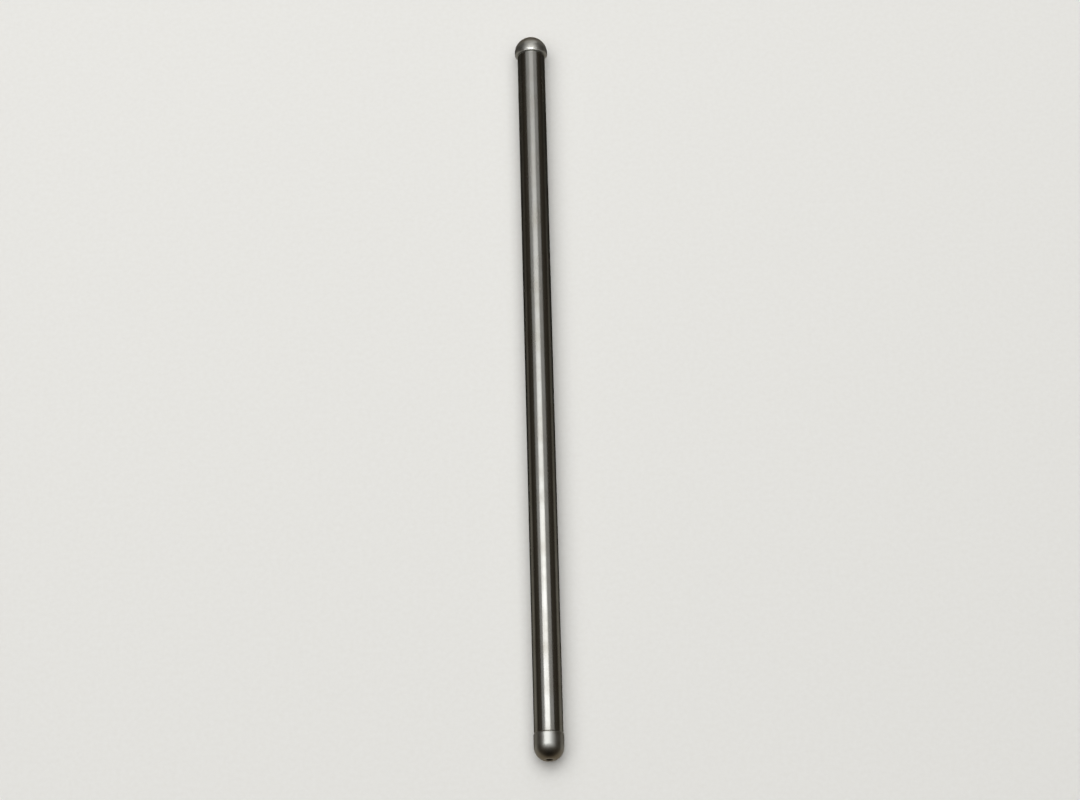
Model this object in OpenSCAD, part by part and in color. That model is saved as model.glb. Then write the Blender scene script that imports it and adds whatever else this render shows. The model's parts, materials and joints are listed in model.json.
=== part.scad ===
// Engine pushrod: a ground steel tube with a hardened end pressed into each mouth, a round nose and a ball.
// The rod lies along Y, with the lifter end at -Y and the rocker end at +Y.
// The origin is under the middle of the rod, on the plane that the rocker ball touches.

/* [Tube] */
// Length over both tips
overall_len = 260; // [150:1:320]
// Outside diameter of the tube, three eighths of an inch
tube_od = 9.525; // [8:0.005:10]
// Wall thickness of the tube
tube_wall = 2.1; // [1.6:0.05:2.6]
// Bevel on the outer edge of both tube mouths
tube_bevel = 0.25; // [0.1:0.05:0.4]

/* [Lifter end] */
// Diameter of the round nose that turns in the lifter cup, a little over the tube's
lifter_ball_d = 9.9; // [9.6:0.05:11]
// Straight collar from the seam to the start of the nose
collar_len = 4; // [1:0.1:8]
// Bevel on the collar where it meets the tube
collar_bevel = 0.25; // [0.1:0.05:0.4]

/* [Rocker end] */
// Diameter of the ball that turns in the rocker cup
rocker_ball_d = 11.4; // [11.2:0.05:13]
// Distance from the centre of the ball back to its flat shoulder
shoulder_depth = 1.3; // [0.8:0.1:1.8]
// Rounding of the shoulder's outer edge
shoulder_round = 0.6; // [0.1:0.05:0.7]

/* [Both ends] */
// Diameter of the flat on each tip
tip_flat_d = 4.4; // [3.2:0.1:5]
// Diameter of the oil hole, about three thirty-seconds of an inch
oil_hole_d = 2.3; // [1.5:0.1:2.5]
// Bevel around the mouth of the oil hole
mouth_bevel = 0.2; // [0.1:0.05:0.3]
// Length of the spigot that is pressed into the tube
spigot_len = 12; // [6:0.5:20]
// Bevel that leads the spigot into the tube
spigot_bevel = 0.5; // [0.2:0.1:0.8]

/* [Hidden] */
$fn = 96;
ground_steel = [0.74, 0.74, 0.72];
satin_steel = [0.5, 0.5, 0.47];

// How far a cutting shape runs past the faces that it cuts
overcut = 1;

tube_r = tube_od / 2;
bore_r = tube_r - tube_wall;
oil_r = oil_hole_d / 2;
lifter_r = lifter_ball_d / 2;
rocker_r = rocker_ball_d / 2;
axis_height = max(lifter_r, rocker_r);

// Places along the rod are kept to a hundredth of a millimetre, so that faces that meet share one plane
function hundredth(length) = round(length * 100) / 100;

// Height of a ball's tip flat over the centre of the ball
function tip_height(ball_r) = hundredth(sqrt(pow(ball_r, 2) - pow(tip_flat_d / 2, 2)));

// Lines and arcs that would only touch overlap by a hair, so that they cross at one clean edge
hair = 0.002;
collar_r = lifter_r - hair;

// Place of the shoulder rounding's centre, under which the rounding runs into the flat shoulder
round_drop = shoulder_depth - shoulder_round;
round_reach = sqrt(pow(rocker_r - shoulder_round + hair, 2) - pow(round_drop, 2));

lifter_centre_y = -overall_len / 2 + tip_height(lifter_r);
rocker_centre_y = overall_len / 2 - tip_height(rocker_r);
lifter_seam_y = lifter_centre_y + collar_len;
rocker_seam_y = rocker_centre_y - shoulder_depth;
tube_len = rocker_seam_y - lifter_seam_y;

// Lays a turned piece along the rod, with the axis of its profile pointing to +Y
module along_rod(y) {
    translate([0, y, axis_height]) rotate([-90, 0, 0]) children();
}

// Half section of a ball above the level low, with its tip ground flat
module ball_half(ball_r, low) {
    intersection() {
        circle(r = ball_r);
        translate([0, low]) square([ball_r, tip_height(ball_r) - low]);
    }
}

// Outline of the spigot, from the axis up to the seam where it leaves the tube
function spigot_outline(seam) = [
    [0, seam - spigot_len],
    [bore_r - spigot_bevel, seam - spigot_len],
    [bore_r, seam - spigot_len + spigot_bevel],
    [bore_r, seam],
];

// Half section of the oil hole, from below the spigot to the bevelled mouth in the tip
module oil_hole_half(tip, low) {
    polygon([
        [-overcut, low - overcut],
        [oil_r, low - overcut],
        [oil_r, tip - mouth_bevel],
        [oil_r + mouth_bevel + overcut, tip + overcut],
        [-overcut, tip + overcut],
    ]);
}

// Half section of the lifter end: spigot, bevelled collar and round nose
module lifter_half() {
    ball_half(lifter_r, -collar_len / 2);
    polygon(concat(spigot_outline(-collar_len), [
        [collar_r - collar_bevel, -collar_len],
        [collar_r, -collar_len + collar_bevel],
        [collar_r, 0],
        [0, 0],
    ]));
}

// Half section of the rocker end: spigot, flat shoulder with its rounded edge, and ball
module rocker_half() {
    ball_half(rocker_r, -round_drop * rocker_r / (rocker_r - shoulder_round));
    translate([round_reach, -round_drop]) circle(r = shoulder_round);
    polygon(concat(spigot_outline(-shoulder_depth), [
        [round_reach, -shoulder_depth],
        [round_reach, -round_drop],
        [0, 0],
    ]));
}

module pushrod_tube() {
    color(ground_steel) along_rod(lifter_seam_y) rotate_extrude() polygon([
        [bore_r, 0],
        [tube_r - tube_bevel, 0],
        [tube_r, tube_bevel],
        [tube_r, tube_len - tube_bevel],
        [tube_r - tube_bevel, tube_len],
        [bore_r, tube_len],
    ]);
}

module lifter_ball_end() {
    color(satin_steel) along_rod(lifter_centre_y) mirror([0, 0, 1]) rotate_extrude() difference() {
        lifter_half();
        oil_hole_half(tip_height(lifter_r), -collar_len - spigot_len);
    }
}

module rocker_ball_end() {
    color(satin_steel) along_rod(rocker_centre_y) rotate_extrude() difference() {
        rocker_half();
        oil_hole_half(tip_height(rocker_r), -shoulder_depth - spigot_len);
    }
}

pushrod_tube();
lifter_ball_end();
rocker_ball_end();
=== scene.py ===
import json
import math

import bmesh
import bpy
from mathutils import Euler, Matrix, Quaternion, Vector


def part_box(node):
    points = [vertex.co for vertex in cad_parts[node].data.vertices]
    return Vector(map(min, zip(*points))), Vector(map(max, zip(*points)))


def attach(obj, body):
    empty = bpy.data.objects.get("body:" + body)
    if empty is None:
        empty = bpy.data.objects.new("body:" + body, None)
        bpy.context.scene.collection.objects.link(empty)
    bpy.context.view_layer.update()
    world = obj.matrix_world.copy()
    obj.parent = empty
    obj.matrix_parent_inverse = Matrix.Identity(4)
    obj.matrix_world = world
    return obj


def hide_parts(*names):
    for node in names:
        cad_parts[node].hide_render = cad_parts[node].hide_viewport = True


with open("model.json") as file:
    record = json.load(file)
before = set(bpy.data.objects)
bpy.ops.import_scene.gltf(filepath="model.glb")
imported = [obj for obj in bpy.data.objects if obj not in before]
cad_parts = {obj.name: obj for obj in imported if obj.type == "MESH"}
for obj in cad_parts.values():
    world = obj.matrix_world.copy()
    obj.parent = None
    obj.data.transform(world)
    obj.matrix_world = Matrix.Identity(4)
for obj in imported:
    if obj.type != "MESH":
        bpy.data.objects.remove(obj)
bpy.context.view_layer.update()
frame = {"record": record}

# Tube
# A length of seamless steel tubing, ground bright between wheels and wiped with oil.
# Both mouths are bevelled, and its bore takes the spigots of the two ends as a press fit.
MM = 0.001
TUBE_RADIUS = 4.7625 * MM
TUBE_BORE_RADIUS = 2.6625 * MM
TUBE_BEVEL = 0.25 * MM
EDGE_BREAK = 0.05 * MM
# Half the angle of a corner that is too blunt to break, as along an arc
BLUNT_HALF_ANGLE = math.radians(80)
TURNED_STEPS = 160

seats = {mount["name"]: Vector(mount["pos_m"]) for mount in frame["record"]["mounts"]}
axis_height = seats["tube_shank"].z
lifter_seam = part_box("pushrod_tube")[0].y
rocker_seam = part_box("pushrod_tube")[1].y


def break_edges(corners, radius, steps=3):
    """A closed half outline of (place along the rod, radius) with each corner rounded off."""
    outline = []
    for i, here in enumerate(corners):
        before = Vector(corners[i - 1])
        after = Vector(corners[(i + 1) % len(corners)])
        here = Vector(here)
        back = (before - here).normalized()
        ahead = (after - here).normalized()
        half_angle = back.angle(ahead) / 2
        if half_angle > BLUNT_HALF_ANGLE:
            outline.append(here)
            continue
        reach = radius / math.tan(half_angle)
        centre = here + (back + ahead).normalized() * radius / math.sin(half_angle)
        start = here + back * reach - centre
        turn = start.angle_signed(here + ahead * reach - centre)
        for k in range(steps + 1):
            angle = -turn * k / steps
            swung = Vector((
                start.x * math.cos(angle) - start.y * math.sin(angle),
                start.x * math.sin(angle) + start.y * math.cos(angle),
            ))
            outline.append(centre + swung)
    return outline


def turned_piece(name, outline, node, material):
    """A closed half outline spun round the rod's axis, as a piece that stands for one CAD node."""
    bm = bmesh.new()
    ring = [bm.verts.new((0, y, axis_height + r)) for y, r in outline]
    edges = [bm.edges.new((ring[i - 1], ring[i])) for i in range(len(ring))]
    bmesh.ops.spin(
        bm,
        geom=ring + edges,
        cent=(0, 0, axis_height),
        axis=(0, 1, 0),
        angle=2 * math.pi,
        steps=TURNED_STEPS,
        use_merge=True,
    )
    bmesh.ops.recalc_face_normals(bm, faces=bm.faces)
    for face in bm.faces:
        face.smooth = True
    mesh = bpy.data.meshes.new(name)
    bm.to_mesh(mesh)
    bm.free()
    mesh.materials.append(material)
    piece = bpy.data.objects.new(name, mesh)
    bpy.context.scene.collection.objects.link(piece)
    piece.modifiers.new("even_shading", "WEIGHTED_NORMAL")
    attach(piece, "root")
    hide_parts(node)
    return piece


def linear(hex_colour):
    """An sRGB hex colour as the linear RGBA that a shader takes."""
    channels = [int(hex_colour[i:i + 2], 16) / 255 for i in (1, 3, 5)]
    return *[c / 12.92 if c <= 0.04045 else ((c + 0.055) / 1.055) ** 2.4 for c in channels], 1.0


def add_node(tree, kind, inputs=(), **settings):
    """A node with its settings, and with each input set to a value or linked from another node's output."""
    node = tree.nodes.new(kind)
    for key, value in settings.items():
        setattr(node, key, value)
    for key, value in dict(inputs).items():
        if isinstance(value, bpy.types.NodeSocket):
            tree.links.new(value, node.inputs[key])
        else:
            node.inputs[key].default_value = value
    return node


# Ground bright steel: the wheels leave fine marks round the tube, which draw reflections out along it
# and keep them sharp across it; oil and handling leave faint warm patches and lengthwise scuffs.
BRIGHT_STEEL = "#C4C4C0"
OILED_STEEL = "#ACA89E"
TUBE_ROUGHNESS = 0.2
OIL_PATCH = 9 * MM
SCUFF_WIDTH = 0.35 * MM
SCUFF_LENGTH = 30 * MM
# Real grinding marks are some hundredths of a millimetre apart; these are drawn coarser so that they show.
GRIND_MARK = 0.5 * MM
# A mark keeps its depth for about this distance round the tube.
GRIND_RUN = 50 * MM
GRIND_DEPTH = 0.004 * MM

ground_steel = bpy.data.materials.new("ground_bright_steel")
ground_steel.use_nodes = True
tree = ground_steel.node_tree
shader = tree.nodes["Principled BSDF"]
place = add_node(tree, "ShaderNodeTexCoord").outputs["Object"]
patches = add_node(tree, "ShaderNodeTexNoise", {"Vector": place, "Scale": 1 / OIL_PATCH, "Detail": 4.0})
scuff_place = add_node(tree, "ShaderNodeMapping", {
    "Vector": place,
    "Scale": (1 / SCUFF_WIDTH, 1 / SCUFF_LENGTH, 1 / SCUFF_WIDTH),
})
scuffs = add_node(tree, "ShaderNodeTexNoise", {"Vector": scuff_place.outputs[0], "Scale": 1.0, "Detail": 3.0})
mark_place = add_node(tree, "ShaderNodeMapping", {
    "Vector": place,
    "Scale": (1 / GRIND_RUN, 1 / GRIND_MARK, 1 / GRIND_RUN),
})
marks = add_node(tree, "ShaderNodeTexNoise", {"Vector": mark_place.outputs[0], "Scale": 1.0, "Detail": 5.0})
oil = add_node(tree, "ShaderNodeMapRange", {
    "Value": patches.outputs["Fac"], "From Min": 0.4, "From Max": 0.75, "To Max": 0.7,
})
colour = add_node(tree, "ShaderNodeMix", {
    "Factor": oil.outputs["Result"], "A": linear(BRIGHT_STEEL), "B": linear(OILED_STEEL),
}, data_type="RGBA")
wear = add_node(tree, "ShaderNodeMath", {
    0: scuffs.outputs["Fac"], 1: patches.outputs["Fac"],
}, operation="MULTIPLY")
roughness = add_node(tree, "ShaderNodeMapRange", {
    "Value": wear.outputs[0], "From Min": 0.1, "From Max": 0.45,
    "To Min": TUBE_ROUGHNESS - 0.04, "To Max": TUBE_ROUGHNESS + 0.1,
})
bump = add_node(tree, "ShaderNodeBump", {
    "Height": marks.outputs["Fac"], "Strength": 0.25, "Distance": GRIND_DEPTH,
})
around = add_node(tree, "ShaderNodeTangent", direction_type="RADIAL", axis="Y")
shader.inputs["Metallic"].default_value = 1.0
shader.inputs["Anisotropic"].default_value = 0.55
shader.inputs["Anisotropic Rotation"].default_value = 0.25
tree.links.new(colour.outputs["Result"], shader.inputs["Base Color"])
tree.links.new(roughness.outputs["Result"], shader.inputs["Roughness"])
tree.links.new(bump.outputs["Normal"], shader.inputs["Normal"])
tree.links.new(around.outputs["Tangent"], shader.inputs["Tangent"])

tube_outline = break_edges([
    (lifter_seam, TUBE_BORE_RADIUS),
    (lifter_seam, TUBE_RADIUS - TUBE_BEVEL),
    (lifter_seam + TUBE_BEVEL, TUBE_RADIUS),
    (rocker_seam - TUBE_BEVEL, TUBE_RADIUS),
    (rocker_seam, TUBE_RADIUS - TUBE_BEVEL),
    (rocker_seam, TUBE_BORE_RADIUS),
], EDGE_BREAK)
ground_tube = turned_piece("ground_tube", tube_outline, "pushrod_tube", ground_steel)

# Ends
# Two turned, hardened and satin polished steel ends, each with a spigot that is pressed into the tube:
# a straight collar with a round nose for the lifter, and a larger ball with a flat shoulder for the rocker.
# An oil hole is drilled through each from the flat on its tip.
NOSE_RADIUS = 4.95 * MM
COLLAR_BEVEL = 0.25 * MM
BALL_RADIUS = 5.7 * MM
SHOULDER_ROUND = 0.6 * MM
TIP_FLAT_RADIUS = 2.2 * MM
OIL_HOLE_RADIUS = 1.15 * MM
MOUTH_BEVEL = 0.2 * MM
SPIGOT_LENGTH = 12 * MM
SPIGOT_BEVEL = 0.5 * MM
ARC_STEPS = 40
ROUND_STEPS = 12

# Satin hardened steel: turning leaves fine rings and the polish a soft grain, so highlights spread wide
# and soft; faint stains break up the grey.
SATIN_STEEL = "#CBCCC8"
STAINED_STEEL = "#B3B1A9"
END_ROUGHNESS = 0.34
STAIN_PATCH = 3 * MM
# Hot oil leaves a brown film round each oil hole, which starts and is full at these distances from the tip.
OIL_VARNISH = "#A3937B"
TIP_STAIN_START = 3.5 * MM
TIP_STAIN_FULL = 0.7 * MM
POLISH_GRAIN = 0.15 * MM
# Real turning rings are about a tenth of a millimetre apart; these are drawn coarser so that they show.
TURNING_RING = 0.45 * MM
RING_RUN = 33.3 * MM
RING_DEPTH = 0.004 * MM

tip_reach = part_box("rocker_ball_end")[1].y
satin_steel = bpy.data.materials.new("satin_hardened_steel")
satin_steel.use_nodes = True
tree = satin_steel.node_tree
shader = tree.nodes["Principled BSDF"]
place = add_node(tree, "ShaderNodeTexCoord").outputs["Object"]
stains = add_node(tree, "ShaderNodeTexNoise", {"Vector": place, "Scale": 1 / STAIN_PATCH, "Detail": 4.0})
grain = add_node(tree, "ShaderNodeTexNoise", {"Vector": place, "Scale": 1 / POLISH_GRAIN, "Detail": 3.0})
ring_place = add_node(tree, "ShaderNodeMapping", {
    "Vector": place,
    "Scale": (1 / RING_RUN, 1 / TURNING_RING, 1 / RING_RUN),
})
rings = add_node(tree, "ShaderNodeTexNoise", {"Vector": ring_place.outputs[0], "Scale": 1.0, "Detail": 4.0})
stain = add_node(tree, "ShaderNodeMapRange", {
    "Value": stains.outputs["Fac"], "From Min": 0.4, "From Max": 0.7, "To Max": 0.8,
})
clean = add_node(tree, "ShaderNodeMix", {
    "Factor": stain.outputs["Result"], "A": linear(SATIN_STEEL), "B": linear(STAINED_STEEL),
}, data_type="RGBA")
along = add_node(tree, "ShaderNodeSeparateXYZ", {"Vector": place})
from_middle = add_node(tree, "ShaderNodeMath", {0: along.outputs["Y"]}, operation="ABSOLUTE")
at_tip = add_node(tree, "ShaderNodeMapRange", {
    "Value": from_middle.outputs[0], "To Max": 0.75,
    "From Min": tip_reach - TIP_STAIN_START, "From Max": tip_reach - TIP_STAIN_FULL,
})
colour = add_node(tree, "ShaderNodeMix", {
    "Factor": at_tip.outputs["Result"], "A": clean.outputs["Result"], "B": linear(OIL_VARNISH),
}, data_type="RGBA")
roughness = add_node(tree, "ShaderNodeMapRange", {
    "Value": grain.outputs["Fac"], "From Min": 0.3, "From Max": 0.7,
    "To Min": END_ROUGHNESS - 0.03, "To Max": END_ROUGHNESS + 0.04,
})
relief = add_node(tree, "ShaderNodeMath", {0: rings.outputs["Fac"], 1: grain.outputs["Fac"]})
bump = add_node(tree, "ShaderNodeBump", {
    "Height": relief.outputs[0], "Strength": 0.2, "Distance": RING_DEPTH,
})
shader.inputs["Metallic"].default_value = 1.0
tree.links.new(colour.outputs["Result"], shader.inputs["Base Color"])
tree.links.new(roughness.outputs["Result"], shader.inputs["Roughness"])
tree.links.new(bump.outputs["Normal"], shader.inputs["Normal"])


def spigot_corners(seam, inward):
    """Corners from the oil hole round the spigot to the seam; inward is the direction into the tube."""
    end = seam + inward * SPIGOT_LENGTH
    return [
        (end, OIL_HOLE_RADIUS),
        (end, TUBE_BORE_RADIUS - SPIGOT_BEVEL),
        (end - inward * SPIGOT_BEVEL, TUBE_BORE_RADIUS),
        (seam, TUBE_BORE_RADIUS),
    ]


def arc_points(centre, radius, inward, first, last, steps):
    """Points on an arc round a centre, at angles measured from straight out towards the tip."""
    along, out = centre
    angles = [first + (last - first) * k / steps for k in range(steps + 1)]
    return [(along - inward * radius * math.sin(a), out + radius * math.cos(a)) for a in angles]


def tip_corners(centre, radius, inward):
    """Corners from the flat's rim over the bevelled mouth of the oil hole."""
    tip = centre - inward * math.sqrt(radius ** 2 - TIP_FLAT_RADIUS ** 2)
    return [
        (tip, OIL_HOLE_RADIUS + MOUTH_BEVEL),
        (tip + inward * MOUTH_BEVEL, OIL_HOLE_RADIUS),
    ]


nose_centre = seats["lifter_ball_seat"].y
nose_outline = break_edges([
    *spigot_corners(lifter_seam, 1),
    (lifter_seam, NOSE_RADIUS - COLLAR_BEVEL),
    (lifter_seam - COLLAR_BEVEL, NOSE_RADIUS),
    *arc_points((nose_centre, 0), NOSE_RADIUS, 1, 0, math.acos(TIP_FLAT_RADIUS / NOSE_RADIUS), ARC_STEPS),
    *tip_corners(nose_centre, NOSE_RADIUS, 1),
], EDGE_BREAK)
lifter_nose = turned_piece("lifter_nose", nose_outline, "lifter_ball_end", satin_steel)

ball_centre = seats["rocker_ball_seat"].y
round_place = rocker_seam + SHOULDER_ROUND
round_angle = math.asin((ball_centre - round_place) / (BALL_RADIUS - SHOULDER_ROUND))
round_reach = (BALL_RADIUS - SHOULDER_ROUND) * math.cos(round_angle)
ball_outline = break_edges([
    *spigot_corners(rocker_seam, -1),
    *arc_points((round_place, round_reach), SHOULDER_ROUND, -1, -math.pi / 2, -round_angle, ROUND_STEPS),
    *arc_points((ball_centre, 0), BALL_RADIUS, -1, -round_angle, math.acos(TIP_FLAT_RADIUS / BALL_RADIUS),
                ARC_STEPS)[1:],
    *tip_corners(ball_centre, BALL_RADIUS, -1),
], EDGE_BREAK)
rocker_ball = turned_piece("rocker_ball", ball_outline, "rocker_ball_end", satin_steel)

# Floor
# A plain pale board under the rod, with a faint tooth like matt card.
# It is set level with the line that touches both ends, because the nose is slimmer than the ball.
FLOOR_SIZE = 30.0
FLOOR_PALE = "#EBEBE8"
FLOOR_SHADE = "#E5E4E0"
FLOOR_TOOTH = 1.5 * MM

floor_slope = math.asin((BALL_RADIUS - NOSE_RADIUS) / (ball_centre - nose_centre))
floor_normal = Vector((0, math.sin(floor_slope), math.cos(floor_slope)))
card = bpy.data.materials.new("matt_card")
card.use_nodes = True
tree = card.node_tree
shader = tree.nodes["Principled BSDF"]
place = add_node(tree, "ShaderNodeTexCoord").outputs["Object"]
tooth = add_node(tree, "ShaderNodeTexNoise", {"Vector": place, "Scale": 1 / FLOOR_TOOTH, "Detail": 2.0})
colour = add_node(tree, "ShaderNodeMix", {
    "Factor": tooth.outputs["Fac"], "A": linear(FLOOR_PALE), "B": linear(FLOOR_SHADE),
}, data_type="RGBA")
shader.inputs["Roughness"].default_value = 0.85
tree.links.new(colour.outputs["Result"], shader.inputs["Base Color"])
bpy.ops.mesh.primitive_plane_add(size=FLOOR_SIZE)
floor = bpy.context.object
floor.name = "floor"
floor.location = Vector((0, ball_centre, axis_height)) - floor_normal * BALL_RADIUS
floor.rotation_euler = Euler((-floor_slope, 0, 0))
floor.data.materials.append(card)
# The metal doesn't mirror the pale board, so that its flanks stay as dark as in the photo.
floor.visible_glossy = False

# Light
# Three soft boxes of unequal reach hang over the rod and draw the stripe along the tube, bright at the near
# end and fading to the far one, between the grey borders of a wide dim panel. Other lights stand before and
# beyond the rod, each piece and the floor have some to themselves, and the metal mirrors a dark room.
BOX_HEIGHT = 1.0
BOX_NEAR_EDGE = 0.09
# Left, right and far edge of each box, and its brightness
SOFT_BOXES = {
    "near_box": (-0.46, 0.2, 0.34, 1.65),
    "middle_box": (-0.4, 0.26, 0.52, 0.75),
    "far_box": (-0.28, 0.29, 0.85, 0.27),
}
# Tilt of a light that hangs, or that stands upright and faces one end of the rod
FACING_DOWN = 0.0
FACING_LIFTER_END = -math.pi / 2
FACING_ROCKER_END = math.pi / 2
# Middle, width and length, brightness and tilt of each other light, and the pieces it is kept to, if any.
# The front box and the low panel draw a stripe when the rod is seen from behind or low down.
LIGHTS = {
    "dim_panel": ((-0.05, 0.4, 1.1), (2.3, 1.8), 0.3, FACING_DOWN, []),
    "far_panel": ((0, 1.5, 0.85), (1.6, 1.2), 0.45, FACING_LIFTER_END, []),
    "front_box": ((-0.15, -0.81, 1.0), (0.8, 1.8), 1.1, FACING_DOWN, [ground_tube]),
    "low_panel": ((0, 1.6, 0.65), (2.0, 0.9), 0.8, FACING_LIFTER_END, [ground_tube, lifter_nose]),
    "nose_light": ((-0.17, 0.28, 1.0), (0.86, 0.38), 4.0, FACING_DOWN, [lifter_nose]),
    "ball_light": ((0.03, 0, 1.0), (0.5, 1.1), 7.0, FACING_DOWN, [rocker_ball]),
    "shoulder_light": ((0, -1.0, 0.6), (1.2, 1.0), 2.0, FACING_ROCKER_END, [rocker_ball]),
    "floor_light": ((-0.4, 0.2, 2.0), (3.4, 3.4), 1.4, FACING_DOWN, [floor]),
}


def soft_light(name, middle, size, brightness, tilt, shines_on):
    """A soft light whose brightness doesn't hang on its size, kept to the pieces it shines on, if any."""
    light = bpy.data.lights.new(name, "AREA")
    light.shape = "RECTANGLE"
    light.size, light.size_y = size
    light.energy = brightness * math.pi * size[0] * size[1]
    lamp = bpy.data.objects.new(name, light)
    lamp.location = middle
    lamp.rotation_euler = Euler((tilt, 0, 0))
    lamp.visible_camera = False
    bpy.context.scene.collection.objects.link(lamp)
    if shines_on:
        only = bpy.data.collections.new(name + "_only")
        for piece in shines_on:
            only.objects.link(piece)
        lamp.light_linking.receiver_collection = only


for name, (left, right, far_edge, brightness) in SOFT_BOXES.items():
    middle = ((left + right) / 2, (BOX_NEAR_EDGE + far_edge) / 2, BOX_HEIGHT)
    size = (right - left, far_edge - BOX_NEAR_EDGE)
    soft_light(name, middle, size, brightness, FACING_DOWN, [])
for name, (middle, size, brightness, tilt, shines_on) in LIGHTS.items():
    soft_light(name, middle, size, brightness, tilt, shines_on)

# Height of a mirrored direction, from straight down to straight up, and the grey that the metal meets there
ROOM_GREYS = [
    (-1.0, "#918D84"),
    (-0.4, "#88847B"),
    (-0.2, "#757168"),
    (-0.05, "#3A352D"),
    (0.0, "#2F2A23"),
    (0.35, "#3C372F"),
    (1.0, "#3C372F"),
]
# Places of another grey: the dark in front of the rod, the dark low beyond it and a paler patch inside that.
# Each has the direction of its middle, and where it starts and is full as the cosine of the angle to it.
ROOM_PLACES = [
    ((0, -0.9, 0.43), (0.75, 0.95), "#171410"),
    ((0, 0.95, -0.31), (0.38, 0.52), "#171410"),
    ((0, 0.97, -0.24), (0.6, 0.72), "#66625A"),
]
room = bpy.data.worlds.new("dark_room")
room.use_nodes = True
tree = room.node_tree
direction = add_node(tree, "ShaderNodeTexCoord").outputs["Generated"]
height = add_node(tree, "ShaderNodeSeparateXYZ", {"Vector": direction})
level = add_node(tree, "ShaderNodeMapRange", {"Value": height.outputs["Z"], "From Min": -1.0})
greys = add_node(tree, "ShaderNodeValToRGB", {"Fac": level.outputs["Result"]})
stops = greys.color_ramp.elements
while len(stops) < len(ROOM_GREYS):
    stops.new(1.0)
for stop, (mirrored_height, grey) in zip(stops, ROOM_GREYS):
    stop.position = (mirrored_height + 1) / 2
    stop.color = linear(grey)
mirrored = greys.outputs["Color"]
for middle, (start, full), grey in ROOM_PLACES:
    nearness = add_node(tree, "ShaderNodeVectorMath", {0: direction, 1: middle}, operation="DOT_PRODUCT")
    share = add_node(tree, "ShaderNodeMapRange", {
        "Value": nearness.outputs["Value"], "From Min": start, "From Max": full,
    })
    mirrored = add_node(tree, "ShaderNodeMix", {
        "Factor": share.outputs["Result"], "A": mirrored, "B": linear(grey),
    }, data_type="RGBA").outputs["Result"]
tree.links.new(mirrored, tree.nodes["Background"].inputs["Color"])
bpy.context.scene.world = room
# The greys reach the picture as they are, with no film curve over them.
bpy.context.scene.view_settings.view_transform = "Standard"

# Camera
# It looks down on the rod from the lifter end, as the photo does: the line of sight meets the rod's axis at
# a steep angle at the near end and a flatter one at the far end, and the rod leans a little to the left.
FRAME_WIDTH = 1080
FRAME_HEIGHT = 800
NEAR_ANGLE = math.radians(76)
FAR_ANGLE = math.radians(61.5)
LEAN = math.radians(1.5)
# Share of the frame's height that the rod fills
ROD_SHARE = 0.9

near_tip = Vector((0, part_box("lifter_ball_end")[0].y, axis_height))
far_tip = Vector((0, tip_reach, axis_height))
spread = NEAR_ANGLE - FAR_ANGLE
near_distance = (far_tip - near_tip).length * math.sin(FAR_ANGLE) / math.sin(spread)
sight_up = Vector((0, -math.cos(NEAR_ANGLE), math.sin(NEAR_ANGLE)))
middle_angle = (NEAR_ANGLE + FAR_ANGLE) / 2
camera = bpy.data.objects.new("camera", bpy.data.cameras.new("camera"))
camera.location = near_tip + sight_up * near_distance
ahead = Vector((0, math.cos(middle_angle), -math.sin(middle_angle)))
camera.rotation_mode = "QUATERNION"
camera.rotation_quaternion = Quaternion(ahead, LEAN) @ ahead.to_track_quat("-Z", "Y")
focal_pixels = ROD_SHARE * FRAME_HEIGHT / 2 / math.tan(spread / 2)
camera.data.lens = camera.data.sensor_width * focal_pixels / FRAME_WIDTH
bpy.context.scene.collection.objects.link(camera)
bpy.context.scene.camera = camera
